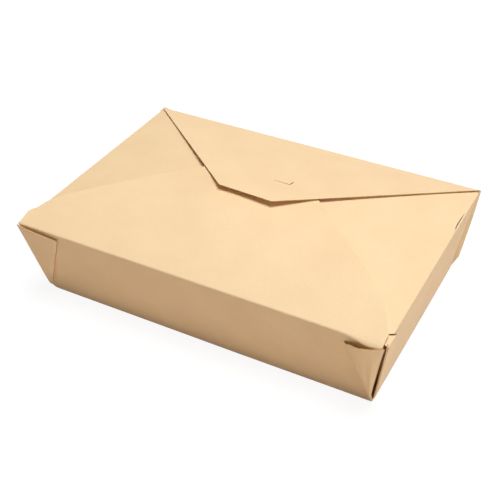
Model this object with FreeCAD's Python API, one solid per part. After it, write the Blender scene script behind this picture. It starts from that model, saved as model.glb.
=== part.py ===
"""Takeaway box folded from one sheet of kraft board, shut, in millimetres.

The box stands on its base. X runs along the long side, the front is at -Y and +Z is up.
The origin is the centre of the base's underside. The walls lean outwards. At each corner the
web between two walls is folded flat on the outside of the long wall: this is the ear. The two
side flaps lie lowest, the front flap lies over them and the back flap is outermost.
"""
import FreeCAD
import Part
import math
import os

# Sheet
BOARD = 0.45
LAYER_GAP = 0.15

# Tub
TOP_LENGTH = 216.0
TOP_WIDTH = 150.4
BASE_LENGTH = 201.5
BASE_WIDTH = 127.2
HEIGHT = 50.5
BASE_BEND = 1.0

# Ears: the width of the folded web and of the pleat in it, at the top and at the foot
EAR_WIDTH = 22.5
EAR_FOOT_WIDTH = 3.6
EAR_FOOT_HEIGHT = 3.0
PLEAT_WIDTH = 11.0
PLEAT_FOOT_WIDTH = 2.2
PLEAT_COVER = 0.4
SLIT_WIDTH = 1.5
SLIT_FOOT_WIDTH = 0.3
EAR_TOP_DROP = 1.0
EAR_SLOPE_DROP = 3.0
CORNER_BEND = 1.2

# Folds along the wall tops
WALL_TOP_DROP = 2.0
FOLD_BEND = 0.9
SIDE_FOLD_DROP = 0.8

# Front flap: an arch that is level at its crown
FRONT_REACH = 90.0
FRONT_CROWN_REACH = 78.0
FRONT_CROWN_RISE = 11.8
FRONT_ROOT_INSET = 1.2
FRONT_SHOULDER_REACH = 7.5
FRONT_NOTCH_INSET = 4.0
FRONT_NOTCH_REACH = 12.0
FRONT_HIP_INSET = 11.0
FRONT_HIP_REACH = 25.0
FRONT_TIP_WIDTH = 54.0

# Side flaps
SIDE_REACH = 72.0
SIDE_RISE = 11.4
SIDE_CROWN = 0.5
SIDE_TIP_WIDTH = 22.0
SIDE_FRONT_INSET = 12.5
SIDE_FRONT_STEP = 9.0
SIDE_BACK_INSET = 0.8

# Tabs: the short turned-in ends of the side walls' tops, in front of the side flaps
TAB_REACH = 6.5
TAB_RISE = 0.2
TAB_CROWN = 0.15
TAB_DROP = 0.95
TAB_INSET = 3.0
TAB_GAP = 0.4

# Back flap and the fold that it swings on
BACK_REACH = 88.0
BACK_RISE = 18.0
BACK_TIP_WIDTH = 35.4
BACK_ROOT_INSET = 0.4
BACK_RIM_INSET = 1.2
BACK_FOLD_GAP = 0.3
SLOT_WIDTH = 0.5
SLOT_REACH = 62.5
SLOT_START = 4.0
SLOT_BEND = 13.0
SLOT_HOOK_X = 3.4
SLOT_HOOK_Y = 4.4

CUT_MARGIN = 5.0
FLATNESS = 1e-6


def vec(x, y, z=0.0):
    return FreeCAD.Vector(x, y, z)


def half_length(z):
    """Half the tub's outer length at height z."""
    return 0.5 * (BASE_LENGTH + (TOP_LENGTH - BASE_LENGTH) * z / HEIGHT)


def half_width(z):
    """Half the tub's outer width at height z."""
    return 0.5 * (BASE_WIDTH + (TOP_WIDTH - BASE_WIDTH) * z / HEIGHT)


def frustum(bottom, top, inset):
    """The space inside the leaning walls from one height to another."""
    low_x, high_x = half_length(bottom) - inset, half_length(top) - inset
    low_y, high_y = half_width(bottom) - inset, half_width(top) - inset
    wedge = Part.makeWedge(-low_x, bottom, -low_y, -high_y, -high_x,
                           low_x, top, low_y, high_y, high_x)
    wedge.rotate(vec(0, 0, 0), vec(1, 0, 0), 90)
    return wedge


def prism(points, bottom, top):
    """An upright prism over a closed outline of (x, y) points."""
    corners = [vec(x, y, bottom) for x, y in points]
    face = Part.Face(Part.makePolygon(corners + corners[:1]))
    return face.extrude(vec(0, 0, top - bottom))


def mirrored(shape, across_x, across_y):
    """A copy of the shape, mirrored in the YZ plane, the XZ plane or both."""
    if across_x:
        shape = shape.mirror(vec(0, 0, 0), vec(1, 0, 0))
    if across_y:
        shape = shape.mirror(vec(0, 0, 0), vec(0, 1, 0))
    return shape


def join(shapes):
    """The union of the shapes, with its split faces merged."""
    return shapes[0].multiFuse(shapes[1:]).removeSplitter()


class SheetPath:
    """The sheet's section round a corner, as its outside edges and its inside edges in pairs.

    Points are (u, n): u runs along the front wall from the corner, n outwards from its face.
    level(u, n) gives the height of each point, so that a section can follow a cut edge. A point
    past the middle of a wall stops there.
    """

    def __init__(self, level, outside, inside):
        self.level = level
        self.sides = ([], [])
        self.last = [self.place(*outside), self.place(*inside)]

    def place(self, u, n):
        z = self.level(u, n)
        return vec(max(half_length(z) - u, 0.0), min(-half_width(z) - n, 0.0), z)

    def line(self, *ends):
        for side, end in enumerate(ends):
            point = self.place(*end)
            self.sides[side].append(Part.LineSegment(self.last[side], point).toShape())
            self.last[side] = point

    def arc(self, *stops):
        for side, (middle, end) in enumerate(stops):
            point = self.place(*end)
            curve = Part.Arc(self.last[side], self.place(*middle), point)
            self.sides[side].append(curve.toShape())
            self.last[side] = point

    def fold(self, u, first, last, way):
        """Half circles at u between runs whose middle lines are at n = first and n = last.

        way is 1 for a fold that points away from the corner and -1 for one that points to it.
        """
        stops = []
        for shift in (0.5 * BOARD * way, -0.5 * BOARD * way):
            start, end = first - shift, last + shift
            stops.append(((u + 0.5 * way * abs(end - start), 0.5 * (start + end)), (u, end)))
        self.arc(*stops)


def facet(low, high):
    """The face between two edges, as a plane where they lie in one."""
    if isinstance(low.Curve, Part.Line) and isinstance(high.Curve, Part.Line):
        points = [low.Vertexes[0].Point, low.Vertexes[1].Point,
                  high.Vertexes[1].Point, high.Vertexes[0].Point]
        normal = (points[1] - points[0]).cross(points[2] - points[0]).normalize()
        if abs((points[3] - points[0]).dot(normal)) < FLATNESS:
            return Part.Face(Part.makePolygon(points + points[:1]))
    return Part.makeRuledSurface(low, high)


def skinned(lower, upper):
    """The solid between two sections of the sheet with the same runs and folds."""
    faces = []
    for side in (0, 1):
        faces += [facet(low, high) for low, high in zip(lower.sides[side], upper.sides[side])]
    for section in (lower, upper):
        faces += [facet(outside, inside) for outside, inside in zip(*section.sides)]
    for end, vertex in ((0, 0), (-1, 1)):
        corners = [section.sides[side][end].Vertexes[vertex].Point
                   for section, side in ((lower, 0), (lower, 1), (upper, 1), (upper, 0))]
        faces.append(Part.Face(Part.makePolygon(corners + corners[:1])))
    shell = Part.Shell(faces)
    shell.sewShape()
    solid = Part.Solid(shell)
    if solid.Volume < 0:
        solid.reverse()
    return solid


def corner_section(rise, level):
    """The sheet's section round the front right corner, from middle to middle of the walls.

    The sheet runs along the front wall to the corner, folds back on it as the ear's inner
    layer, turns at the free crease, returns as the outer layer, tucks in as a two-layer pleat
    and leaves the pleat as the side wall. rise is 0 at the foot of the ear and 1 at its top.
    """
    ear = EAR_FOOT_WIDTH + (EAR_WIDTH - EAR_FOOT_WIDTH) * rise
    pleat = PLEAT_FOOT_WIDTH + (PLEAT_WIDTH - PLEAT_FOOT_WIDTH) * rise
    slit = SLIT_FOOT_WIDTH + (SLIT_WIDTH - SLIT_FOOT_WIDTH) * rise
    half = 0.5 * BOARD
    pitch = BOARD + LAYER_GAP
    inner = pitch - half
    tucked = inner + pitch
    knee = tucked + 2.0 * pitch
    mouth = tucked + slit + BOARD
    outer = mouth + pitch
    ear_end = half + 0.5 * LAYER_GAP
    bend = CORNER_BEND + BOARD
    wall_end = bend + LAYER_GAP + 0.5 * (pitch + BOARD)
    start = tucked + half - bend
    slant = 1.0 - math.sqrt(0.5)

    path = SheetPath(level, (TOP_LENGTH, 0.0), (TOP_LENGTH, -BOARD))
    path.line((wall_end, 0.0), (wall_end, -BOARD))
    path.fold(wall_end, -half, inner, -1)
    path.line((ear, inner - half), (ear, inner + half))
    path.fold(ear, inner, tucked, 1)
    path.line((pleat + PLEAT_COVER, knee + half), (pleat + PLEAT_COVER, knee - half))
    path.line((ear_end, outer + half), (ear_end, outer - half))
    path.fold(ear_end, outer, mouth, -1)
    path.line((pleat, tucked + pitch - half), (pleat, tucked + pitch + half))
    path.fold(pleat, tucked + pitch, tucked, 1)
    path.line((bend, tucked + half), (bend, tucked - half))
    path.arc(((slant * bend, start + bend - slant * bend), (0.0, start)),
             ((BOARD + slant * CORNER_BEND, start + CORNER_BEND - slant * CORNER_BEND),
              (BOARD, start)))
    path.line((0.0, -TOP_WIDTH), (BOARD, -TOP_WIDTH))
    return path


def ear_foot():
    """The crowded end of the web, where all its layers run into the base's corner."""
    stack = 3.0 * (BOARD + LAYER_GAP) + SLIT_FOOT_WIDTH + BOARD
    wires = []
    for z, width, depth in ((BASE_BEND, 1.5 * BOARD, BOARD),
                            (EAR_FOOT_HEIGHT, EAR_FOOT_WIDTH, stack)):
        right = half_length(z) - 0.5 * BOARD
        front = -half_width(z)
        corners = [vec(right - width, front + BOARD, z), vec(right, front + BOARD, z),
                   vec(right, front - depth, z), vec(right - width, front - depth, z)]
        wires.append(Part.makePolygon(corners + corners[:1]))
    return Part.makeLoft(wires, True, True)


def corner():
    """A quarter of the walls with its ear, above the foot of the ear.

    The walls end a little lower than the ear, where their folded tops take over, and so does
    the fold between wall and ear. The ear's cut top slopes down to its free crease.
    """
    def cut_edge(u, n):
        inner_fold = n < BOARD + 1.5 * LAYER_GAP and u < 0.5 * EAR_WIDTH
        if inner_fold or n < 0.5 * LAYER_GAP:
            return HEIGHT - WALL_TOP_DROP
        return HEIGHT - EAR_TOP_DROP - EAR_SLOPE_DROP * u / EAR_WIDTH

    lower = corner_section(0.0, lambda u, n: EAR_FOOT_HEIGHT)
    upper = corner_section(1.0, cut_edge)
    return skinned(lower, upper)


def pan():
    """The base with the lowest part of the walls, bent up all round."""
    outer = frustum(0.0, EAR_FOOT_HEIGHT, 0.0)
    foot_edges = [edge for edge in outer.Edges if edge.BoundBox.ZMax < 0.5 * EAR_FOOT_HEIGHT]
    outer = outer.makeFillet(BASE_BEND, foot_edges)
    inner = frustum(BOARD, EAR_FOOT_HEIGHT, BOARD)
    inner_edges = [edge for edge in inner.Edges if edge.BoundBox.ZMax < 0.5 * EAR_FOOT_HEIGHT]
    inner = inner.makeFillet(BASE_BEND - BOARD, inner_edges)
    return outer.cut(inner)


def rounded(before, knee, after, radius):
    """Edges from before to after with the corner at knee rounded to the radius."""
    back = (before - knee).normalize()
    ahead = (after - knee).normalize()
    half_angle = 0.5 * back.getAngle(ahead)
    reach = radius / math.tan(half_angle)
    first = knee + back * reach
    last = knee + ahead * reach
    bisector = (back + ahead).normalize()
    centre = knee + bisector * (radius / math.sin(half_angle))
    middle = centre - bisector * radius
    return [Part.LineSegment(before, first).toShape(),
            Part.Arc(first, middle, last).toShape()], last


def bent_flap(wall_lean, fold_height, heights, reaches, span):
    """A wall's top edge folded over into a curved flap, as a strip as wide as span.

    The profile is drawn with s inwards from the wall's outer face at the fold and z up, then
    extruded along the fold. heights and reaches give the middle and the end of the flap's arch.
    """
    start = HEIGHT - WALL_TOP_DROP
    bend_angle = math.atan2(heights[0], reaches[0])
    edges = []
    ends = []
    for depth in (0.0, BOARD):
        wall = [vec(wall_lean * (fold_height - z) + depth, 0, z) for z in (start, fold_height)]
        knee = vec(depth, 0, fold_height - depth)
        after = knee + vec(math.cos(bend_angle), 0, math.sin(bend_angle)) * FOLD_BEND * 2.0
        pieces, last = rounded(wall[0], knee, after, FOLD_BEND - depth)
        middle = vec(reaches[0], 0, fold_height - depth + heights[0])
        end = vec(reaches[1], 0, fold_height - depth + heights[1])
        pieces.append(Part.Arc(last, middle, end).toShape())
        edges.append(pieces)
        ends.append((wall[0], end))
    outline = edges[0] + [Part.LineSegment(ends[0][1], ends[1][1]).toShape()]
    outline += edges[1] + [Part.LineSegment(ends[1][0], ends[0][0]).toShape()]
    face = Part.Face(Part.Wire(Part.__sortEdges__(outline)))
    face.translate(vec(0, -0.5 * span, 0))
    return face.extrude(vec(0, span, 0))


def front_flap():
    """The front wall's top with the flap that lies under the back flap."""
    lean = (TOP_WIDTH - BASE_WIDTH) / (2.0 * HEIGHT)
    half_span = 0.5 * FRONT_CROWN_REACH
    radius = (FRONT_CROWN_REACH ** 2 + FRONT_CROWN_RISE ** 2) / (2.0 * FRONT_CROWN_RISE)

    def rise(reach):
        return FRONT_CROWN_RISE - radius + math.sqrt(radius ** 2 - (FRONT_CROWN_REACH - reach) ** 2)

    strip = bent_flap(lean, HEIGHT, (rise(half_span), rise(FRONT_REACH)),
                      (half_span, FRONT_REACH), TOP_LENGTH)
    strip.rotate(vec(0, 0, 0), vec(0, 0, 1), 90)
    strip.translate(vec(0, -0.5 * TOP_WIDTH, 0))
    half = [(0.5 * TOP_LENGTH - FRONT_ROOT_INSET, -CUT_MARGIN),
            (0.5 * TOP_LENGTH - FRONT_ROOT_INSET, FRONT_SHOULDER_REACH),
            (0.5 * TOP_LENGTH - FRONT_NOTCH_INSET, FRONT_NOTCH_REACH),
            (0.5 * TOP_LENGTH - FRONT_HIP_INSET, FRONT_HIP_REACH),
            (0.5 * FRONT_TIP_WIDTH, FRONT_REACH)]
    outline = half + [(-x, y) for x, y in reversed(half)]
    cutter = prism([(x, y - 0.5 * TOP_WIDTH) for x, y in outline], 0, 2.0 * HEIGHT)
    return strip.common(cutter)


def side_flap():
    """The right wall's top with its flap, the lowest of the lid."""
    lean = (TOP_LENGTH - BASE_LENGTH) / (2.0 * HEIGHT)
    strip = bent_flap(lean, HEIGHT - SIDE_FOLD_DROP,
                      (0.5 * SIDE_RISE + SIDE_CROWN, SIDE_RISE), (0.5 * SIDE_REACH, SIDE_REACH),
                      TOP_WIDTH)
    strip.rotate(vec(0, 0, 0), vec(0, 0, 1), 180)
    strip.translate(vec(0.5 * TOP_LENGTH, 0, 0))
    outline = [(-CUT_MARGIN, -0.5 * TOP_WIDTH + SIDE_FRONT_INSET),
               (SIDE_FRONT_STEP, -0.5 * TOP_WIDTH + SIDE_FRONT_INSET),
               (SIDE_REACH, -0.5 * SIDE_TIP_WIDTH),
               (SIDE_REACH, 0.5 * SIDE_TIP_WIDTH),
               (FOLD_BEND, 0.5 * TOP_WIDTH - SIDE_BACK_INSET),
               (-CUT_MARGIN, 0.5 * TOP_WIDTH - SIDE_BACK_INSET)]
    cutter = prism([(0.5 * TOP_LENGTH - s, y) for s, y in outline], 0, 2.0 * HEIGHT)
    return strip.common(cutter)


def side_tab():
    """The turned-in top of the right wall between the corner and its flap."""
    lean = (TOP_LENGTH - BASE_LENGTH) / (2.0 * HEIGHT)
    strip = bent_flap(lean, HEIGHT - TAB_DROP, (0.5 * TAB_RISE + TAB_CROWN, TAB_RISE),
                      (0.5 * TAB_REACH, TAB_REACH), TOP_WIDTH)
    strip.rotate(vec(0, 0, 0), vec(0, 0, 1), 180)
    strip.translate(vec(0.5 * TOP_LENGTH, 0, 0))
    front = -0.5 * TOP_WIDTH + TAB_INSET
    back = -0.5 * TOP_WIDTH + SIDE_FRONT_INSET - TAB_GAP
    outline = [(-CUT_MARGIN, front), (FOLD_BEND, front), (TAB_REACH, back - TAB_INSET),
               (TAB_REACH, back), (-CUT_MARGIN, back)]
    cutter = prism([(0.5 * TOP_LENGTH - s, y) for s, y in outline], 0, 2.0 * HEIGHT)
    return strip.common(cutter)


def back_rim():
    """The back wall's top edge, just under the fold of the back flap."""
    start = HEIGHT - WALL_TOP_DROP
    end = HEIGHT - 0.5 * BOARD - BACK_FOLD_GAP
    half = 0.5 * TOP_LENGTH - BACK_RIM_INSET
    wires = []
    for z in (start, end):
        back = half_width(z)
        corners = [vec(-half, back - BOARD, z), vec(half, back - BOARD, z),
                   vec(half, back, z), vec(-half, back, z)]
        wires.append(Part.makePolygon(corners + corners[:1]))
    return Part.makeLoft(wires, True, True)


def carton():
    """Base, walls, ears, side flaps and front flap: one sheet, so one solid."""
    quarter = corner().fuse(ear_foot())
    pieces = [pan(), front_flap(), back_rim()]
    for across_x in (False, True):
        pieces.append(mirrored(side_flap(), across_x, False))
        pieces.append(mirrored(side_tab(), across_x, False))
        for across_y in (False, True):
            pieces.append(mirrored(quarter, across_x, across_y))
    return join(pieces)


def slot_outline():
    """The bent lock slit in the back flap, as a closed band in (x, distance from the fold)."""
    half = 0.5 * SLOT_WIDTH
    return [(SLOT_START, SLOT_REACH - half), (SLOT_START, SLOT_REACH + half),
            (SLOT_BEND + half, SLOT_REACH + half),
            (SLOT_BEND + SLOT_HOOK_X + half, SLOT_REACH - SLOT_HOOK_Y),
            (SLOT_BEND + SLOT_HOOK_X - half, SLOT_REACH - SLOT_HOOK_Y),
            (SLOT_BEND - half, SLOT_REACH - half)]


def back_flap():
    """The outermost flap: a flat sheet with a rolled root, raised at its tip."""
    axis_y = 0.5 * TOP_WIDTH - 0.5 * BOARD
    half_root = 0.5 * TOP_LENGTH - BACK_ROOT_INSET
    half = [(half_root, 0.0), (0.5 * BACK_TIP_WIDTH, BACK_REACH)]
    outline = half + [(-x, y) for x, y in reversed(half)]
    corners = [vec(x, -s, -0.5 * BOARD) for x, s in outline]
    sheet = Part.Face(Part.makePolygon(corners + corners[:1])).extrude(vec(0, 0, BOARD))
    slot = prism([(x, -s) for x, s in slot_outline()], -BOARD, BOARD)
    root = Part.makeCylinder(0.5 * BOARD, 2.0 * half_root, vec(-half_root, 0, 0), vec(1, 0, 0))
    flap = join([sheet.cut(slot), root])
    flap.rotate(vec(0, 0, 0), vec(1, 0, 0), -math.degrees(math.atan2(BACK_RISE, BACK_REACH)))
    flap.translate(vec(0, axis_y, HEIGHT))
    return flap


def main():
    os.makedirs("parts", exist_ok=True)
    for name, shape in (("carton", carton()), ("back_flap", back_flap())):
        solid = shape.Solids[0] if len(shape.Solids) == 1 else shape
        print(name, "solids", len(shape.Solids), "valid", solid.isValid(),
              "volume", round(solid.Volume, 1), "box", solid.BoundBox)
        solid.exportStep(os.path.join("parts", name + ".step"))


main()
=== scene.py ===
"""The looks of a shut takeaway box, folded from one sheet of brown kraft board.

Lengths are millimetres until a mesh is made. X runs along the long side, the front is at -Y,
+Z is up, and the origin is the centre of the base's underside. Every panel is a surface over a
grid of two parameters, and then gets the board's thickness.
"""
from collections import namedtuple
import math

import bmesh
import bpy
from mathutils import Matrix, Vector
import numpy as np


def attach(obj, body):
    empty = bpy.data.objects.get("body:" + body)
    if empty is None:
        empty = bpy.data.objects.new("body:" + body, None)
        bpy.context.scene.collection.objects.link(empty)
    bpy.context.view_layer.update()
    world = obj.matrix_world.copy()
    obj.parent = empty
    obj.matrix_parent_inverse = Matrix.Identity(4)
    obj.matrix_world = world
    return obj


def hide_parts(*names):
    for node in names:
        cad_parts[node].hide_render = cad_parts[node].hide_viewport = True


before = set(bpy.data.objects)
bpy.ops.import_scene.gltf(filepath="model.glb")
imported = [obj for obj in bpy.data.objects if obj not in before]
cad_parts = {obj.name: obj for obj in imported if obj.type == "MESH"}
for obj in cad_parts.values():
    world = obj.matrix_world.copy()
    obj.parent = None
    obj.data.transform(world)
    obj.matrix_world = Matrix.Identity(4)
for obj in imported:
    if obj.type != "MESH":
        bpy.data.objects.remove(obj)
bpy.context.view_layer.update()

METRE = 1000.0

# Sheet, its mesh cells, and the angle in degrees from which an edge is shaded sharp
BOARD = 0.45
HALF_BOARD = 0.5 * BOARD
CELL = 2.0
SHARP_ANGLE = 38.0

# Tub. Its walls lean outwards by their lean for each millimetre of height, and start a little
# over the floor, beside the bend round the base. That bend ends at an angle in degrees. A long
# wall's ends stay back from the corners by one length at the foot and by another from
# WALL_END_HEIGHT up.
TOP_LENGTH = 216.0
TOP_WIDTH = 150.4
BASE_LENGTH = 201.5
BASE_WIDTH = 127.2
HEIGHT = 50.5
SIDE_LEAN = (TOP_LENGTH - BASE_LENGTH) / (2.0 * HEIGHT)
FRONT_LEAN = (TOP_WIDTH - BASE_WIDTH) / (2.0 * HEIGHT)
BASE_BEND = 1.0
BASE_BEND_END = -12.0
WALL_FOOT = 0.45
WALL_FOOT_END = 0.3
WALL_END = 2.6
WALL_END_HEIGHT = 7.0
WALL_TOP_DROP = 2.0
BACK_WALL_GAP = 0.3

# Folds. A flap's slope at its fold is taken over SLOPE_LENGTH, and a short cell of length CRISP on
# each side of the bend keeps its shading narrow.
FOLD_BEND = 0.75
SLOPE_LENGTH = 6.0
CRISP = 0.3

# How many points the bends have: round the base, at a fold, and where an ear's layer turns back
RIM_POINTS = 6
FOLD_POINTS = 9
TURN_POINTS = 9

# Unevenness of the flaps: three long waves with their lengths along x and y, their shares and
# their phases. It starts behind the fold and is whole after a fade.
WAVE_LENGTHS = ((31.0, 23.0), (17.0, 29.0), (47.0, 13.0))
WAVE_SHARES = (0.5, 0.3, 0.2)
WAVE_PHASES = (1.3, -0.4, 0.8, 2.1)
WAVE_START = 1.0
WAVE_FADE = 20.0
FRONT_WAVES = 0.25
SIDE_WAVES = 0.2

# Ears, which are the corner webs folded flat on the long walls. An ear has its width and its
# pleat's width at the top, the distance of its layers, the gap of its slit, the lift of its free
# crease off the wall, the drop of its cut top, the bulge of its outer layer, how far the corner
# behind the slit gapes, and how far from the corner its outer layer turns in, at mid height. Where
# that edge is negative, the outer layer isn't tucked in, and its corner flares instead.
Ear = namedtuple("Ear", "width pleat pitch slit lift drop bulge gape edge")
FRONT_RIGHT_EAR = Ear(19.6, 10.2, 0.42, 0.2, 0.1, 5.4, 2.5, 1.0, 1.4)
FRONT_LEFT_EAR = Ear(25.0, 11.0, 0.30, 0.0, 0.7, 3.0, 0.4, 0.2, 0.45)
BACK_RIGHT_EAR = Ear(22.5, 11.0, 0.35, 0.1, 0.4, 3.6, 0.8, 0.3, -2.0)
BACK_LEFT_EAR = Ear(22.5, 11.0, 0.45, 0.4, 0.4, 3.6, 0.8, 0.3, 0.4)

# What all ears share. Shares of the height are from 0 at the foot to 1 at the top. The layers are
# pressed together at the foot, by a share that fades upwards. The outer layer's edge leaves the
# corner over the first share of the height and returns by a share at the top. The sheet leaves
# the long wall at a root that moves away from the corner above the foot. The outer layer's knee
# over the pleat's crease stands out by a share of the layers' distance.
EAR_FOOT_HEIGHT = 1.8
EAR_FOOT_WIDTH = 0.5
EAR_TOP_DROP = 0.6
EAR_PRESS = 0.8
EAR_PRESS_FADE = 0.08
EAR_EDGE_START = 0.12
EAR_EDGE_RETURN = 0.85
EAR_ROOT_FOOT = 0.2
EAR_ROOT = 3.0
EAR_ROOT_RISE = 1.0 / 6.0
EAR_KNEE = 0.8

# How many points an ear's straight runs have, the last two between the corners of its end
LAYER_POINTS = 12
OUTER_POINTS = 16
PLEAT_POINTS = 10
TUCKED_POINTS = (6, 3, 7, 3, 7, 3, 4)
FLARED_POINTS = (6, 3, 3)

# The soft facets on the bulge of an ear's outer layer, in (share of its width, height)
EAR_FACETS = ((0.0, 0.0), (0.22, 0.5), (0.45, -0.2), (0.7, 0.5), (1.0, 0.0))
EAR_FACET_SIZE = 2.0

# How far the ear's inner layers end below its outer one at the top, for each millimetre of depth,
# from a place near the corner on and with a fade towards the free crease
LAYER_DROP = 7.0
LAYER_DROP_START = 1.0
LAYER_DROP_FADE = 4.0

# The corner behind the slit, in (distance from the corner, distance out of the long wall): the
# pleat's lip and the crease to the side wall, each with its move for a gape of 1, and the slot
# that runs on between them, a little shorter beside the crease. The gaps are the slot's steps
# along the long wall. Near the top the corner closes by a share.
LIP = np.array([0.5, -0.2])
LIP_GAPE = np.array([1.6, 0.0])
LIP_ROUND = np.array([0.3, 0.3])
CREASE = np.array([HALF_BOARD, -0.6])
CREASE_GAPE = np.array([-0.4, -1.2])
CREASE_END = 0.3
SLOT_DEPTH = 14.0
SLOT_SLANT = 0.27
SLOT_END_SHARE = 0.9
SLOT_END_GAP = np.array([0.2, 0.0])
SLOT_MOUTH_GAP = np.array([0.15, 0.0])
GAPE_CLOSE_START = 0.9
GAPE_CLOSE = 0.5
CORNER_BACK = 3.0

# A flared corner: its turn, its step inwards and backwards, and its lap on the side wall
FLARE_TURN = 1.0
FLARE_STEP_IN = 1.2
FLARE_STEP_BACK = 0.3
FLARE_LAP = 0.5

# The side walls near the front corners. They stand out a little there, and a section's points
# belong to the side wall behind SIDE_START and as far in as SIDE_DEPTH.
CORNER_SWELL = 0.8
CORNER_SWELL_REACH = 9.0
SIDE_START = -0.3
SIDE_DEPTH = 1.3

# The base's corners, pressed in
LEFT_CORNER_CUT = 2.9
RIGHT_CORNER_CUT = 1.0
CORNER_PRESS = 0.85

# Front flap. Its outlines are in (distance from the fold, distance in from the box's end). Its
# bulge is a hill across it that starts behind the fold, and its fold sags over the right ear.
FRONT_REACH = 90.0
FRONT_CROWN_REACH = 78.0
FRONT_CROWN_RISE = 11.8
FRONT_RIGHT_OUTLINE = ((0.0, 1.2), (7.5, 1.2), (12.0, 4.0), (25.0, 11.0), (90.0, 81.0))
FRONT_LEFT_OUTLINE = ((0.0, 0.4), (9.8, 0.4), (13.1, 3.8), (18.6, 6.0), (25.0, 11.0), (90.0, 81.0))
FRONT_BULGE = 2.8
FRONT_BULGE_PLACE = -12.0
FRONT_BULGE_WIDTH = 28.0
FRONT_BULGE_START = 15.0
FRONT_BULGE_FADE = 40.0
FLAP_CLEARANCE = 0.9
FOLD_SAG_PLACE = 7.0
FOLD_SAG_LENGTH = 9.0
FOLD_SAG_HEIGHT = 1.4
FOLD_SAG_OUT = 1.5
FOLD_SAG_DOWN = 1.5

# Side flaps. The front edge follows the tab's cut for half of SIDE_FRONT_STEP, and from all of it
# on it runs straight to the tip.
SIDE_REACH = 72.0
SIDE_RISE = 11.4
SIDE_CROWN = 0.5
SIDE_TIP_WIDTH = 22.0
SIDE_FRONT_INSET = 12.5
SIDE_FRONT_STEP = 11.0
SIDE_BACK_INSET = 0.8
SIDE_FOLD_DROP = 1.0

# Tabs: the turned-in ends of the side walls' tops, in front of the side flaps. The cut between
# them is slanted on the wall and, up to a reach, on the flap. Past it the tab is tucked under.
TAB_REACH = 15.0
TAB_RISE = 1.3
TAB_DROP = 0.9
TAB_LAP = 3.0
TAB_PROUD = 0.12
TAB_START = 1.2
TAB_START_SLANT = 0.3
TAB_CUT = 0.5
TAB_CUT_BACK = 12.3
TAB_CUT_DEPTH = 4.5
TAB_CUT_WALL_SLANT = 0.7
TAB_CUT_FLAP_SLANT = 1.2
TAB_CUT_FLAP_REACH = 2.2
TAB_TUCK = 8.0
TAB_TUCK_START = 4.0
TAB_TUCK_FADE = 3.0
TAB_COLUMNS = 9
RIGHT_TAB_SPREAD = 1.8
LEFT_TAB_SPREAD = 0.0

# Back flap
BACK_REACH = 88.0
BACK_RISE = 16.9
BACK_TIP_LEFT = 15.4
BACK_TIP_RIGHT = 17.0
BACK_TWIST = 0.6
BACK_ROOT_INSET = 0.4
BACK_CELL = 1.5

# Lock slit in the back flap, in (x, distance from the fold), and the slot that has opened along
# the right side flap's fold, in (distance from the fold, distance from the back corner)
SLIT_ROUTE = ((5.6, 62.2), (11.0, 62.4), (15.6, 62.4), (15.9, 58.4))
SLIT_WIDTHS = (0.3, 0.5, 1.0, 0.6)
FOLD_SLOT_ROUTE = ((1.0, 26.0), (1.2, 31.0), (1.2, 38.0), (0.9, 43.0))
FOLD_SLOT_WIDTHS = (0.2, 0.45, 0.6, 0.3)
FOLD_SLOT_HALF_DEPTH = 3.0

# Board's colours, and the sizes of its pattern. Real fibres are a millimetre or so long and far
# finer than the picture can show, so they are drawn as specks of that length.
PAPER_DARK = "#E7C69A"
PAPER_LIGHT = "#F0D2A6"
CUT_EDGE = "#C39A68"
CLOUD_SIZE = 26.0
FIBRE_SIZE = 1.3
CLOUD_SHARE = 0.55
FIBRE_SHARE = 0.45
TONE_RANGE = (0.3, 0.7)
FIBRE_RELIEF = 0.08

# Floor, in metres, and its colours: what other surfaces get from it and what the camera sees
FLOOR_HALF = 3.0
FLOOR_GAP = 0.0002
FLOOR_PAPER = "#F2E1CE"
FLOOR_SEEN = "#6A6A6A"
FLOOR_GLOW = 0.9

# Light: lamps in metres and watts, aimed at one place in the box
WORLD_STRENGTH = 0.08
Lamp = namedtuple("Lamp", "name place size power colour")
LAMPS = (Lamp("key", (0.2, 0.05, 1.5), 0.8, 23.7, "#FFFFFF"),
         Lamp("right_fill", (1.4, -0.45, 0.4), 0.7, 5.2, "#E2EDFF"),
         Lamp("front_fill", (-0.5, -1.4, 0.4), 0.8, 0.1, "#FFEAD0"))
LAMP_TARGET = (0.0, 0.0, 0.03)

# Camera: its target and distance in millimetres, its direction in radians
CAMERA_TARGET = (-14.557, 22.097, 0.0)
CAMERA_DISTANCE = 582.033
CAMERA_AZIMUTH = 0.4847
CAMERA_ELEVATION = 0.64195
CAMERA_FOCAL_PIXELS = 938.363
CAMERA_NEAREST = 0.01
IMAGE_PIXELS = 500.0
SENSOR_WIDTH = 36.0


def half_length(z):
    """Half the tub's outer length at height z."""
    return 0.5 * (BASE_LENGTH + (TOP_LENGTH - BASE_LENGTH) * z / HEIGHT)


def half_width(z):
    """Half the tub's outer width at height z."""
    return 0.5 * (BASE_WIDTH + (TOP_WIDTH - BASE_WIDTH) * z / HEIGHT)


def wall_inset(z):
    """How far a long wall's end stays back from the corner: it grows with z, then stays."""
    return np.interp(z, (BASE_BEND, WALL_END_HEIGHT), (WALL_FOOT_END, WALL_END))


def ramp(value, start, length):
    """0 up to the start, 1 from start + length on, and a straight line between."""
    return np.clip((value - start) / length, 0.0, 1.0)


def steps(length, cell=CELL):
    """How many points divide a length into cells of about the given size."""
    return max(2, int(round(length / cell)) + 1)


def run(start, end, count):
    """Points on a straight line, start + (end - start) t, without its last point."""
    start, end = np.asarray(start, float), np.asarray(end, float)
    t = np.linspace(0.0, 1.0, count)[:-1, None]
    return start + (end - start) * t


def straight(start, end):
    """Points on a straight line, a cell apart, without its last point."""
    return run(start, end, steps(math.dist(start, end)))


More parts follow.
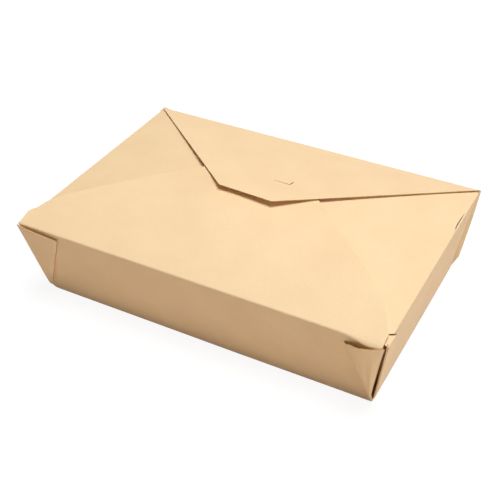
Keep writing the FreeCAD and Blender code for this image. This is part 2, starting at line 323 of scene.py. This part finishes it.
def path(corners, counts):
    """Points on straight lines from corner to corner, last corner included."""
    runs = [run(*ends) for ends in zip(corners, corners[1:], counts)]
    return np.concatenate([*runs, [corners[-1]]])


def arc(centre, radius, first, last, count):
    """Points centre + radius (cos a, sin a), with a from first to last in degrees, last point out."""
    angle = np.radians(np.linspace(first, last, count))[:-1]
    return np.stack([centre[0] + radius * np.cos(angle), centre[1] + radius * np.sin(angle)], -1)


def lengths_along(points):
    """The running length along a line of points."""
    hops = np.linalg.norm(np.diff(points, axis=0), axis=1)
    return np.concatenate([[0.0], np.cumsum(hops)])


def grid_of(*parts):
    """A grid from parts that are numbers, rows, columns or whole grids, stacked as its last axis."""
    return np.stack(np.broadcast_arrays(*parts), -1)


def normals(grid):
    """Unit normals of a grid surface, the cross product of its two tangents."""
    across = np.cross(np.gradient(grid, axis=0), np.gradient(grid, axis=1))
    return across / np.maximum(np.linalg.norm(across, axis=-1, keepdims=True), 1e-9)


def thick(grid, flat):
    """A grid surface with the board's thickness, as (points, quads, flat points, cut edge flags).

    The faces lie half a board to each side of the grid along its normals, and four strips of
    quads close the border. flat holds each grid point's place on the unfolded sheet.
    """
    rows, columns = grid.shape[:2]
    shift = HALF_BOARD * normals(grid)
    points = np.concatenate([(grid + shift).reshape(-1, 3), (grid - shift).reshape(-1, 3)])
    index = np.arange(rows * columns).reshape(rows, columns)
    outer = np.stack([index[:-1, :-1], index[1:, :-1], index[1:, 1:], index[:-1, 1:]], -1)
    outer = outer.reshape(-1, 4)
    inner = outer[:, ::-1] + rows * columns
    ring = np.concatenate([index[:-1, 0], index[-1, :-1], index[:0:-1, -1], index[0, :0:-1]])
    after = np.roll(ring, -1)
    rim = np.stack([after, ring, ring + rows * columns, after + rows * columns], -1)
    quads = np.concatenate([outer, inner, rim])
    cut = np.concatenate([np.zeros(len(outer) + len(inner)), np.ones(len(rim))])
    flat = np.tile(flat.reshape(-1, 2), (2, 1))
    return points, quads, flat, cut


def mirrored(patch, across_x, across_y):
    """A thick patch mirrored in the YZ plane, the XZ plane or both, with its faces outwards."""
    points, quads, flat, cut = patch
    signs = np.array([-1.0 if across_x else 1.0, -1.0 if across_y else 1.0, 1.0])
    if across_x != across_y:
        quads = quads[:, ::-1]
    return points * signs, quads, flat * signs[:2], cut


def make_piece(name, patches, material):
    """One mesh object from thick patches, in metres, with a UV map in millimetres of flat sheet."""
    starts = np.cumsum([0] + [len(patch[0]) for patch in patches])
    points = np.concatenate([patch[0] for patch in patches]) / METRE
    quads = np.concatenate([patch[1] + start for patch, start in zip(patches, starts)])
    flat = np.concatenate([patch[2] for patch in patches])
    cut = np.concatenate([patch[3] for patch in patches])
    mesh = bpy.data.meshes.new(name)
    mesh.from_pydata(points, [], quads.tolist())
    layer = mesh.uv_layers.new(name="sheet")
    layer.data.foreach_set("uv", flat[quads.reshape(-1)].reshape(-1).astype(np.float32))
    edge = mesh.attributes.new("cut_edge", "FLOAT", "FACE")
    edge.data.foreach_set("value", cut.astype(np.float32))
    mesh.shade_smooth()
    mesh.set_sharp_from_angle(angle=math.radians(SHARP_ANGLE))
    mesh.materials.append(material)
    piece = bpy.data.objects.new(name, mesh)
    bpy.context.scene.collection.objects.link(piece)
    return piece


def waves(x, y, from_fold):
    """A smooth unevenness: a product of two waves and two slanting ones, summed by their shares.

    It fades in behind the fold.
    """
    (x0, y0), (x1, y1), (x2, y2) = WAVE_LENGTHS
    p0, q0, p1, p2 = WAVE_PHASES
    parts = (np.sin(x / x0 + p0) * np.cos(y / y0 + q0), np.sin(x / x1 - y / y1 + p1),
             np.cos(x / x2 + y / y2 + p2))
    total = sum(share * part for share, part in zip(WAVE_SHARES, parts))
    return ramp(from_fold, WAVE_START, WAVE_FADE) * total


def front_rise(reach):
    """The front flap's height over its fold: a circular arch, level at its crown."""
    radius = (FRONT_CROWN_REACH ** 2 + FRONT_CROWN_RISE ** 2) / (2.0 * FRONT_CROWN_RISE)
    return FRONT_CROWN_RISE - radius + np.sqrt(radius ** 2 - (FRONT_CROWN_REACH - reach) ** 2)


def side_rise(reach):
    """The side flap's height over its fold: a straight slope with a slight hump."""
    t = reach / SIDE_REACH
    return SIDE_RISE * t + 4.0 * SIDE_CROWN * t * (1.0 - t)


def tab_rise(reach):
    """The tab's height over its fold: a straight slope."""
    return TAB_RISE * reach / TAB_REACH


def folded_profile(lean, top, rise, reach, bottom):
    """The middle line of a wall and its flap, as (s, z) with s inwards from the wall's face.

    The wall rises from z = bottom, leans by lean millimetres for each millimetre of height,
    turns through an arc at the fold and follows rise(s) to the reach. The second value marks
    the points on the wall.
    """
    slope = math.degrees(math.atan2(rise(SLOPE_LENGTH) - rise(0.0), SLOPE_LENGTH))
    radius = FOLD_BEND - HALF_BOARD
    wall_angle = math.degrees(math.atan2(1.0, -lean))
    tangent = radius * math.tan(math.radians(0.5 * (wall_angle - slope)))
    knee = np.array([HALF_BOARD, top - HALF_BOARD])
    wall_way = np.array([lean, -1.0]) / math.hypot(lean, 1.0)
    first = knee + wall_way * tangent
    inward = np.array([-wall_way[1], wall_way[0]])
    centre = first + inward * radius
    foot = knee + wall_way * (top - HALF_BOARD - bottom) * math.hypot(lean, 1.0)
    bend = arc(centre, radius, wall_angle + 90.0, slope + 90.0, FOLD_POINTS)
    start = knee[0] + tangent * math.cos(math.radians(slope))
    s = np.concatenate([[start], np.linspace(start + CRISP, reach, steps(reach - start))])
    flap = np.stack([s, top - HALF_BOARD + rise(s) - rise(0.0)], -1)
    below = first + wall_way * CRISP
    wall = np.concatenate([straight(foot, below), [below]])
    profile = np.concatenate([wall, bend, flap])
    return profile, np.arange(len(profile)) < len(wall)


def base_patch():
    """The base, a rectangle whose border bends up by an arc.

    Its height at a point is the greater of the heights of the middle lines along and across it.
    """
    radius = BASE_BEND - HALF_BOARD

    def section(edge):
        """A middle line of the base, from one border to the other."""
        flat = straight((-edge + BASE_BEND, HALF_BOARD), (edge - BASE_BEND, HALF_BOARD))
        bend = arc((edge - BASE_BEND, BASE_BEND), radius, -90.0, BASE_BEND_END, RIM_POINTS)
        left = bend[:0:-1] * (-1.0, 1.0)
        return np.concatenate([left, flat, bend])

    along, across = section(0.5 * BASE_LENGTH), section(0.5 * BASE_WIDTH)
    x, y = np.meshgrid(along[:, 0], across[:, 0], indexing="ij")
    z = np.maximum(*np.meshgrid(along[:, 1], across[:, 1], indexing="ij"))
    return thick(grid_of(x, y, z)[:, ::-1], grid_of(x, y)[:, ::-1])


def fold_sag(x, from_fold):
    """The sag of the front fold over the right ear, 1 at its middle: a bell along and across."""
    along = (0.5 * TOP_LENGTH - FOLD_SAG_PLACE - x) / FOLD_SAG_LENGTH
    return np.exp(-(from_fold / FOLD_SAG_HEIGHT) ** 2) * np.exp(-along ** 2)


def below_back_flap(y):
    """The greatest height at y that stays a clearance under the back flap, or no limit past it."""
    share = (0.5 * TOP_WIDTH - y) / BACK_REACH
    return np.where(share < 1.0, HEIGHT + BACK_RISE * share - FLAP_CLEARANCE, np.inf)


def front_patch():
    """The front wall with its flap: the folded profile, drawn out along X between two outlines.

    The wall's ends follow the tub's taper. The flap gets its waves and its bulge, is pressed down
    under the back flap, and sags at its fold over the right ear.
    """
    profile, wall = folded_profile(FRONT_LEAN, HEIGHT, front_rise, FRONT_REACH, WALL_FOOT)
    s, z = profile[:, 0], profile[:, 1]
    low = wall & (z < HEIGHT - WALL_TOP_DROP)
    left, right = [np.where(low, half_length(z) - wall_inset(z),
                            0.5 * TOP_LENGTH - np.interp(s, *np.transpose(outline)))[:, None]
                   for outline in (FRONT_LEFT_OUTLINE, FRONT_RIGHT_OUTLINE)]
    along = lengths_along(profile)
    s, z = s[:, None], z[:, None]
    t = np.linspace(-1.0, 1.0, steps(TOP_LENGTH))[None, :]
    x = np.where(t < 0.0, left, right) * t
    y = -0.5 * TOP_WIDTH + s
    hill = np.exp(-((x - FRONT_BULGE_PLACE) / FRONT_BULGE_WIDTH) ** 2)
    z = z + FRONT_WAVES * waves(x, y, s)
    z = z + FRONT_BULGE * hill * ramp(s, FRONT_BULGE_START, FRONT_BULGE_FADE)
    z = np.minimum(z, below_back_flap(y))
    sag = fold_sag(x, (along - along[wall][-1])[:, None])
    grid = grid_of(x, y - FOLD_SAG_OUT * sag, z - FOLD_SAG_DOWN * sag)
    return thick(grid[:, ::-1], grid_of(x, along[:, None])[:, ::-1])


def swell(back, z):
    """How far a side wall stands out near the front corner, at a distance back from it.

    The folded web springs open there: most at the top, fading out downwards and backwards.
    """
    fade = np.exp(-(back / CORNER_SWELL_REACH) ** 2)
    return CORNER_SWELL * fade * np.sqrt(np.clip(z / HEIGHT, 0.0, 1.0))


def tab_cut(s, wall, z):
    """How far back from the front corner the cut between tab and side flap lies.

    It runs slanting forwards over the fold from a point low on the wall.
    """
    return TAB_CUT_BACK + np.where(wall, TAB_CUT_WALL_SLANT * (HEIGHT - z),
                                   -TAB_CUT_FLAP_SLANT * np.clip(s, 0.0, TAB_CUT_FLAP_REACH))


def side_tab_patch(spread):
    """The right wall's top between the front corner and the side flap, turned in as a tab.

    It laps over the wall below, its back end is tucked under the side flap, and at the cut it
    stands out by the spread.
    """
    foot = HEIGHT - TAB_CUT_DEPTH - TAB_LAP
    profile, wall = folded_profile(SIDE_LEAN, HEIGHT - TAB_DROP, tab_rise, TAB_REACH, foot)
    s, z = profile[:, 0], profile[:, 1]
    end = 0.5 * TOP_WIDTH - tab_cut(s, wall, z) + TAB_CUT
    end = end - TAB_TUCK * ramp(s, TAB_TUCK_START, TAB_TUCK_FADE)
    start = half_width(z) - np.where(wall, CORNER_BACK, TAB_START + TAB_START_SLANT * s)
    y = -start[:, None] + (start - end)[:, None] * np.linspace(0.0, 1.0, TAB_COLUMNS)
    s, z = s[:, None], z[:, None]
    back = half_width(z) + y
    x = 0.5 * TOP_LENGTH - s + swell(back, z) + TAB_PROUD
    x = x + spread * ramp(z, HEIGHT - TAB_CUT_DEPTH, TAB_CUT_DEPTH) * back / TAB_CUT_BACK
    flat = grid_of(lengths_along(profile)[:, None], y)
    return thick(grid_of(x, y, z)[:, ::-1], flat[:, ::-1])


def side_patch():
    """The right wall with its flap: the folded profile, drawn out along Y between two borders."""
    top = HEIGHT - SIDE_FOLD_DROP
    profile, wall = folded_profile(SIDE_LEAN, top, side_rise, SIDE_REACH, WALL_FOOT)
    s, z = profile[:, 0], profile[:, 1]
    wall_edge = half_width(z) - CORNER_BACK
    root, tip = 0.5 * TOP_WIDTH, 0.5 * SIDE_TIP_WIDTH
    front = np.interp(s, (SIDE_FRONT_STEP, SIDE_REACH), (root - SIDE_FRONT_INSET, tip))
    front = np.where(s < 0.5 * SIDE_FRONT_STEP, root - tab_cut(s, wall, z), front)
    back = np.interp(s, (FOLD_BEND, SIDE_REACH), (root - SIDE_BACK_INSET, tip))
    low = -np.where(wall & (z < HEIGHT - TAB_CUT_DEPTH), wall_edge, front)
    high = np.where(wall & (z < HEIGHT - WALL_TOP_DROP), wall_edge, back)
    t = np.linspace(0.0, 1.0, steps(TOP_WIDTH))
    y = low[:, None] + (high - low)[:, None] * t[None, :]
    s, z = s[:, None], z[:, None]
    x = 0.5 * TOP_LENGTH - s + swell(half_width(z) + y, z)
    z = z + SIDE_WAVES * waves(y, x, s)
    flat = grid_of(lengths_along(profile)[:, None], y)
    return thick(grid_of(x, y, z)[:, ::-1], flat[:, ::-1])


def back_wall_patch():
    """The back wall, a leaning plane up to the fold that the back flap swings on."""
    z = np.linspace(WALL_FOOT, HEIGHT - HALF_BOARD - BACK_WALL_GAP, steps(HEIGHT))[:, None]
    t = np.linspace(-1.0, 1.0, steps(TOP_LENGTH))[None, :]
    x = (half_length(z) - wall_inset(z)) * t
    grid = grid_of(x, half_width(z) - HALF_BOARD, z)
    return thick(grid, grid[..., (0, 2)])


def turn(u, low, high, way):
    """A half circle from one layer to another at u, bulging away from the corner for way 1."""
    radius = 0.5 * abs(high - low)
    return arc((u, 0.5 * (low + high)), radius, -90.0, -90.0 + 180.0 * way, TURN_POINTS)


def tucked_in(edge, mouth, pleat, tucked, pitch, gape):
    """The end of an ear's section: the pleat, the open corner with its slot, and the side wall."""
    lip = LIP + LIP_GAPE * gape
    crease = CREASE + CREASE_GAPE * gape
    slot = np.array([SLOT_SLANT, -1.0]) * SLOT_DEPTH * gape
    corners = [(pleat, tucked), lip + LIP_ROUND, lip, lip + slot,
               crease + SLOT_END_SHARE * slot + SLOT_END_GAP, crease + SLOT_MOUTH_GAP,
               (HALF_BOARD, crease[1] - CREASE_END), (HALF_BOARD, -CORNER_BACK)]
    return np.concatenate([run((edge, mouth), (pleat, tucked + pitch), PLEAT_POINTS),
                           turn(pleat, tucked, tucked + pitch, 1)[::-1],
                           path(corners, TUCKED_POINTS)])


def flared(edge, mouth):
    """The end of an ear's section whose outer layer turns round the corner, past the side wall."""
    inside = HALF_BOARD + FLARE_STEP_IN
    corners = [(edge, mouth), (HALF_BOARD, -FLARE_TURN), (inside, -FLARE_TURN - FLARE_STEP_BACK),
               (inside, -CORNER_BACK - FLARE_LAP)]
    return path(corners, FLARED_POINTS)


def ear_section(ear, rise):
    """The middle line of the folded corner web, as (u, n), and each point's depth in the stack.

    rise is 0 at the foot of the ear and 1 at its top. u runs along the long wall from the corner
    and n outwards from its face. The sheet leaves the long wall, folds back as the inner layer,
    turns at the free crease and returns as the outer layer. Then it either tucks in as a pleat of
    two layers and turns round a crease into the side wall, or flares at the corner. At the foot
    the layers are pressed together. The outer layer bulges by half a sine wave with soft facets.
    """
    pressed = 1.0 - EAR_PRESS * math.exp(-rise / EAR_PRESS_FADE)
    pitch = ear.pitch * pressed
    width = EAR_FOOT_WIDTH + (ear.width - EAR_FOOT_WIDTH) * rise
    pleat = EAR_FOOT_WIDTH + (ear.pleat - EAR_FOOT_WIDTH) * rise
    lift = ear.lift * pressed
    inner = pitch - HALF_BOARD
    tucked = inner + pitch
    mouth = tucked + (ear.slit + BOARD) * pressed
    outer = mouth + pitch
    edge = ear.edge * min(1.0, rise / EAR_EDGE_START) * (1.0 - EAR_EDGE_RETURN * rise ** 2)
    knee = 0.5 * (tucked + lift + outer) + EAR_KNEE * pitch
    closing = GAPE_CLOSE * ramp(rise, GAPE_CLOSE_START, 1.0 - GAPE_CLOSE_START)
    root = EAR_ROOT_FOOT + (EAR_ROOT - EAR_ROOT_FOOT) * ramp(rise, 0.0, EAR_ROOT_RISE)
    if ear.edge < 0.0:
        end = flared(edge, mouth)
    else:
        end = tucked_in(edge, mouth, pleat, tucked, pitch, ear.gape * pressed * (1.0 - closing))
    points = np.concatenate([
        turn(root, -HALF_BOARD, inner, -1),
        run((root, inner), (width, inner + lift), LAYER_POINTS),
        turn(width, inner + lift, tucked + lift, 1),
        run((width, tucked + lift), (pleat, knee), LAYER_POINTS),
        run((pleat, knee), (edge, outer), OUTER_POINTS),
        turn(edge, outer, mouth, -1),
        end,
    ])
    over = (points[:, 1] > 0.5 * (mouth + tucked)) | (points[:, 0] > pleat)
    share = np.clip((points[:, 0] - edge) / (width - edge), 0.0, 1.0)
    facets = EAR_FACET_SIZE * (1.0 - rise) * np.interp(share, *np.transpose(EAR_FACETS))
    hump = rise * (np.sin(math.pi * share) + facets)
    points[:, 1] += ear.bulge * hump * over * (points[:, 1] > tucked + 0.5 * lift)
    return points, np.clip(outer - points[:, 1], 0.0, None)


def ear_patch(ear, swollen):
    """The ear at the front right corner: its section, redrawn at each height.

    At the top its inner layers end lower than its outer one. The side wall's strip behind the
    corner follows that wall's swelling where it is swollen.
    """
    section, depth = ear_section(ear, 1.0)
    u, n = section.T
    top = HEIGHT - EAR_TOP_DROP - ear.drop * np.clip(u, 0.0, None) / ear.width
    behind = (n > 0.0) & (u > LAYER_DROP_START)
    top = top - LAYER_DROP * depth * behind * ramp(ear.width - u, 0.0, LAYER_DROP_FADE)
    foot = np.where(n < SIDE_START, BASE_BEND, EAR_FOOT_HEIGHT)
    rises = np.linspace(0.0, 1.0, steps(HEIGHT))
    u, n = np.moveaxis([ear_section(ear, rise)[0] for rise in rises], -1, 0)
    z = foot + (top - foot) * rises[:, None]
    on_side = swollen * (u < SIDE_DEPTH) * (n < SIDE_START)
    x = half_length(z) - u + swell(np.clip(-n, 0.0, None), z) * on_side
    grid = grid_of(x, -half_width(z) - n, z)
    flat = grid_of(lengths_along(section) + 0.5 * TOP_LENGTH, z)
    return thick(grid[:, ::-1], flat[:, ::-1])


def blunt(patch):
    """A patch with the base's corners pressed in: near them, points move up and inwards.

    The lack is what a point's distance from the corner, summed over the three directions, is
    short of the cut, and most of it is shared out between the three.
    """
    points, quads, flat, cut = patch
    x, y, z = points.T
    distance = half_length(z) - np.abs(x) + half_width(z) - np.abs(y) + z
    cut_off = np.where(x < 0.0, LEFT_CORNER_CUT, RIGHT_CORNER_CUT)
    lack = np.clip(cut_off - distance, 0.0, None) * CORNER_PRESS / 3.0
    return points + grid_of(-np.sign(x) * lack, -np.sign(y) * lack, lack), quads, flat, cut


def back_flap_patch():
    """The back flap: a plane between a left and a right edge, raised at its tip and twisted."""
    reach = np.linspace(0.0, BACK_REACH, steps(BACK_REACH, BACK_CELL))[:, None]
    share = reach / BACK_REACH
    root = 0.5 * TOP_LENGTH - BACK_ROOT_INSET
    left, right = [root + (tip - root) * share for tip in (BACK_TIP_LEFT, BACK_TIP_RIGHT)]
    t = np.linspace(-1.0, 1.0, steps(TOP_LENGTH, BACK_CELL))[None, :]
    x = np.where(t < 0.0, left, right) * t
    y = 0.5 * TOP_WIDTH - HALF_BOARD - reach
    z = HEIGHT + BACK_RISE * share - BACK_TWIST * share * t
    return thick(grid_of(x, y, z), grid_of(x, y))


def slit_prism(route, widths, low, high):
    """An upright prism from low to high, whose outline is the route widened to both sides."""
    ways = np.gradient(np.array(route), axis=0)
    sides = np.stack([-ways[:, 1], ways[:, 0]], -1) / np.linalg.norm(ways, axis=1)[:, None]
    shift = 0.5 * np.array(widths)[:, None] * sides
    outline = np.concatenate([route + shift, (route - shift)[::-1]])
    count = len(outline)
    levels = np.repeat([low, high], count)[:, None]
    points = np.hstack([np.tile(outline, (2, 1)), levels]) / METRE
    first = np.arange(count)
    walls = np.stack([first, np.roll(first, -1), np.roll(first, -1) + count, first + count], -1)
    mesh = bpy.data.meshes.new("slit_prism")
    mesh.from_pydata(points, [], walls.tolist() + [first[::-1].tolist(), (first + count).tolist()])
    bm = bmesh.new()
    bm.from_mesh(mesh)
    bmesh.ops.recalc_face_normals(bm, faces=bm.faces)
    bm.to_mesh(mesh)
    bm.free()
    prism = bpy.data.objects.new("slit_prism", mesh)
    bpy.context.scene.collection.objects.link(prism)
    return prism


def cut_slit(piece, route, widths, low, high):
    """Takes a slit's prism away from a piece, and keeps the result as the piece's own mesh."""
    prism = slit_prism(route, widths, low, high)
    cut = piece.modifiers.new("slit", "BOOLEAN")
    cut.operation = "DIFFERENCE"
    cut.solver = "EXACT"
    cut.object = prism
    bpy.context.view_layer.update()
    shaped = piece.evaluated_get(bpy.context.evaluated_depsgraph_get())
    mesh = bpy.data.meshes.new_from_object(shaped)
    piece.modifiers.clear()
    piece.data = mesh
    bpy.data.objects.remove(prism)


def make_folded_sheet(material):
    """The sheet without its back flap: base, walls, front and side flaps, tabs and four ears.

    The right side is made apart, so that the slot is cut in nothing else, and is then joined on.
    """
    patches = [base_patch(), front_patch(), back_wall_patch(), mirrored(side_patch(), True, False),
               side_tab_patch(RIGHT_TAB_SPREAD),
               mirrored(side_tab_patch(LEFT_TAB_SPREAD), True, False)]
    for ear, across_x, across_y in ((FRONT_RIGHT_EAR, False, False), (FRONT_LEFT_EAR, True, False),
                                    (BACK_RIGHT_EAR, False, True), (BACK_LEFT_EAR, True, True)):
        patches.append(mirrored(ear_patch(ear, not across_y), across_x, across_y))
    tub = make_piece("folded_sheet", [blunt(patch) for patch in patches], material)
    side = make_piece("right_side", [blunt(side_patch())], material)
    route = [(0.5 * TOP_LENGTH - s, 0.5 * TOP_WIDTH - back) for s, back in FOLD_SLOT_ROUTE]
    cut_slit(side, route, FOLD_SLOT_WIDTHS, HEIGHT - FOLD_SLOT_HALF_DEPTH,
             HEIGHT + FOLD_SLOT_HALF_DEPTH)
    with bpy.context.temp_override(active_object=tub, selected_editable_objects=[tub, side]):
        bpy.ops.object.join()
    return tub


def make_back_flap_sheet(material):
    """The back flap with its lock slit."""
    lid = make_piece("back_flap_sheet", [back_flap_patch()], material)
    route = [(x, 0.5 * TOP_WIDTH - reach) for x, reach in SLIT_ROUTE]
    cut_slit(lid, route, SLIT_WIDTHS, HEIGHT, HEIGHT + 2.0 * BACK_RISE)
    return lid


def linear(colour):
    """An sRGB hex colour as linear RGBA."""
    values = np.array([int(colour[i:i + 2], 16) for i in (1, 3, 5)]) / 255.0
    bright = ((values + 0.055) / 1.055) ** 2.4
    return (*np.where(values <= 0.04045, values / 12.92, bright), 1.0)


def add_node(tree, kind, links=None, values=None, **settings):
    """Adds a node, sets its properties and its unlinked sockets, and links its inputs."""
    node = tree.nodes.new(kind)
    for name, value in settings.items():
        setattr(node, name, value)
    for socket, value in (values or {}).items():
        node.inputs[socket].default_value = value
    for socket, source in (links or {}).items():
        tree.links.new(source, node.inputs[socket])
    return node


def new_material(name):
    """An empty node material and its tree."""
    material = bpy.data.materials.new(name)
    material.use_nodes = True
    material.node_tree.nodes.clear()
    return material, material.node_tree


def kraft_material():
    """Brown kraft board, pressed from long wood fibres and left uncoated: matt, warm, faintly
    clouded, with fine fibres that show in raking light, and darker cut edges."""
    material, tree = new_material("unbleached_kraft_board")
    sheet = add_node(tree, "ShaderNodeUVMap", uv_map="sheet")
    clouds = add_node(tree, "ShaderNodeTexNoise", {"Vector": sheet.outputs["UV"]},
                      {"Scale": 1.0 / CLOUD_SIZE, "Detail": 3.0, "Roughness": 0.55})
    fibres = add_node(tree, "ShaderNodeTexNoise", {"Vector": sheet.outputs["UV"]},
                      {"Scale": 1.0 / FIBRE_SIZE, "Detail": 5.0, "Roughness": 0.65})
    tone = add_node(tree, "ShaderNodeMath", {0: clouds.outputs["Fac"]}, {1: CLOUD_SHARE},
                    operation="MULTIPLY")
    tone = add_node(tree, "ShaderNodeMath", {0: fibres.outputs["Fac"], 2: tone.outputs[0]},
                    {1: FIBRE_SHARE}, operation="MULTIPLY_ADD")
    paper = add_node(tree, "ShaderNodeValToRGB", {"Fac": tone.outputs[0]})
    for stop, place, colour in zip(paper.color_ramp.elements, TONE_RANGE, (PAPER_DARK, PAPER_LIGHT)):
        stop.position = place
        stop.color = linear(colour)
    edge = add_node(tree, "ShaderNodeAttribute", attribute_name="cut_edge")
    colour = add_node(tree, "ShaderNodeMix", {0: edge.outputs["Fac"], 6: paper.outputs["Color"]},
                      {7: linear(CUT_EDGE)}, data_type="RGBA")
    grain = add_node(tree, "ShaderNodeBump", {"Height": fibres.outputs["Fac"]},
                     {"Strength": 0.25, "Distance": FIBRE_RELIEF / METRE})
    shader = add_node(tree, "ShaderNodeBsdfPrincipled",
                      {"Base Color": colour.outputs[2], "Normal": grain.outputs["Normal"]},
                      {"Roughness": 0.62, "IOR": 1.45})
    add_node(tree, "ShaderNodeOutputMaterial", {"Surface": shader.outputs[0]})
    return material


def floor_material():
    """A white paper sweep: other surfaces get its diffuse light, and the camera and reflections
    see it near white, with a soft shadow round the box."""
    material, tree = new_material("white_paper_sweep")
    rays = add_node(tree, "ShaderNodeLightPath")
    seen = add_node(tree, "ShaderNodeMath",
                    {0: rays.outputs["Is Camera Ray"], 1: rays.outputs["Is Glossy Ray"]},
                    operation="MAXIMUM")
    seen = add_node(tree, "ShaderNodeMath",
                    {0: seen.outputs[0], 1: rays.outputs["Is Transmission Ray"]},
                    operation="MAXIMUM")
    paper = add_node(tree, "ShaderNodeBsdfDiffuse", values={"Color": linear(FLOOR_PAPER)})
    shaded = add_node(tree, "ShaderNodeBsdfDiffuse", values={"Color": linear(FLOOR_SEEN)})
    glow = add_node(tree, "ShaderNodeEmission", values={"Strength": FLOOR_GLOW})
    white = add_node(tree, "ShaderNodeAddShader", {0: shaded.outputs[0], 1: glow.outputs[0]})
    both = add_node(tree, "ShaderNodeMixShader",
                    {0: seen.outputs[0], 1: paper.outputs[0], 2: white.outputs[0]})
    add_node(tree, "ShaderNodeOutputMaterial", {"Surface": both.outputs[0]})
    return material


def make_floor():
    """A wide flat floor just under the base."""
    mesh = bpy.data.meshes.new("floor")
    corners = [(x * FLOOR_HALF, y * FLOOR_HALF, -FLOOR_GAP)
               for x, y in ((-1, -1), (1, -1), (1, 1), (-1, 1))]
    mesh.from_pydata(corners, [], [(0, 1, 2, 3)])
    mesh.materials.append(floor_material())
    floor = bpy.data.objects.new("floor", mesh)
    bpy.context.scene.collection.objects.link(floor)


def add_lamp(lamp):
    """A square soft light, aimed at the box."""
    data = bpy.data.lights.new(lamp.name, "AREA")
    data.shape = "SQUARE"
    data.size = lamp.size
    data.energy = lamp.power
    data.color = linear(lamp.colour)[:3]
    light = bpy.data.objects.new(lamp.name, data)
    light.location = lamp.place
    way = Vector(LAMP_TARGET) - Vector(lamp.place)
    light.rotation_euler = way.to_track_quat("-Z", "Y").to_euler()
    bpy.context.scene.collection.objects.link(light)


def make_world():
    """Even light from all round, and white where the camera or a reflection sees it."""
    world = bpy.data.worlds.new("studio")
    bpy.context.scene.world = world
    world.use_nodes = True
    tree = world.node_tree
    tree.nodes.clear()
    rays = add_node(tree, "ShaderNodeLightPath")
    seen = add_node(tree, "ShaderNodeMath",
                    {0: rays.outputs["Is Camera Ray"], 1: rays.outputs["Is Glossy Ray"]},
                    operation="MAXIMUM")
    strength = add_node(tree, "ShaderNodeMapRange", {"Value": seen.outputs[0]},
                        {"To Min": WORLD_STRENGTH, "To Max": 1.0})
    sky = add_node(tree, "ShaderNodeBackground", {"Strength": strength.outputs[0]},
                   {"Color": (1.0, 1.0, 1.0, 1.0)})
    add_node(tree, "ShaderNodeOutputWorld", {"Surface": sky.outputs[0]})


def make_camera():
    """The photograph's view: its direction, distance and focal length."""
    azimuth, elevation = CAMERA_AZIMUTH, CAMERA_ELEVATION
    back = Vector((math.sin(azimuth) * math.cos(elevation),
                   -math.cos(azimuth) * math.cos(elevation), math.sin(elevation)))
    right = Vector((math.cos(azimuth), math.sin(azimuth), 0.0))
    up = back.cross(right)
    data = bpy.data.cameras.new("camera")
    data.sensor_width = SENSOR_WIDTH
    data.lens = CAMERA_FOCAL_PIXELS * SENSOR_WIDTH / IMAGE_PIXELS
    data.clip_start = CAMERA_NEAREST
    camera = bpy.data.objects.new("camera", data)
    place = (Vector(CAMERA_TARGET) + back * CAMERA_DISTANCE) / METRE
    facing = Matrix((right, up, back)).transposed()
    camera.matrix_world = Matrix.Translation(place) @ facing.to_4x4()
    bpy.context.scene.collection.objects.link(camera)
    bpy.context.scene.camera = camera


kraft = kraft_material()
tub = make_folded_sheet(kraft)
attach(tub, "carton")
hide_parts("carton")

lid = make_back_flap_sheet(kraft)
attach(lid, "lid_flap")
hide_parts("back_flap")

make_floor()
make_world()
for lamp in LAMPS:
    add_lamp(lamp)
make_camera()
bpy.context.scene.view_settings.view_transform = "Standard"
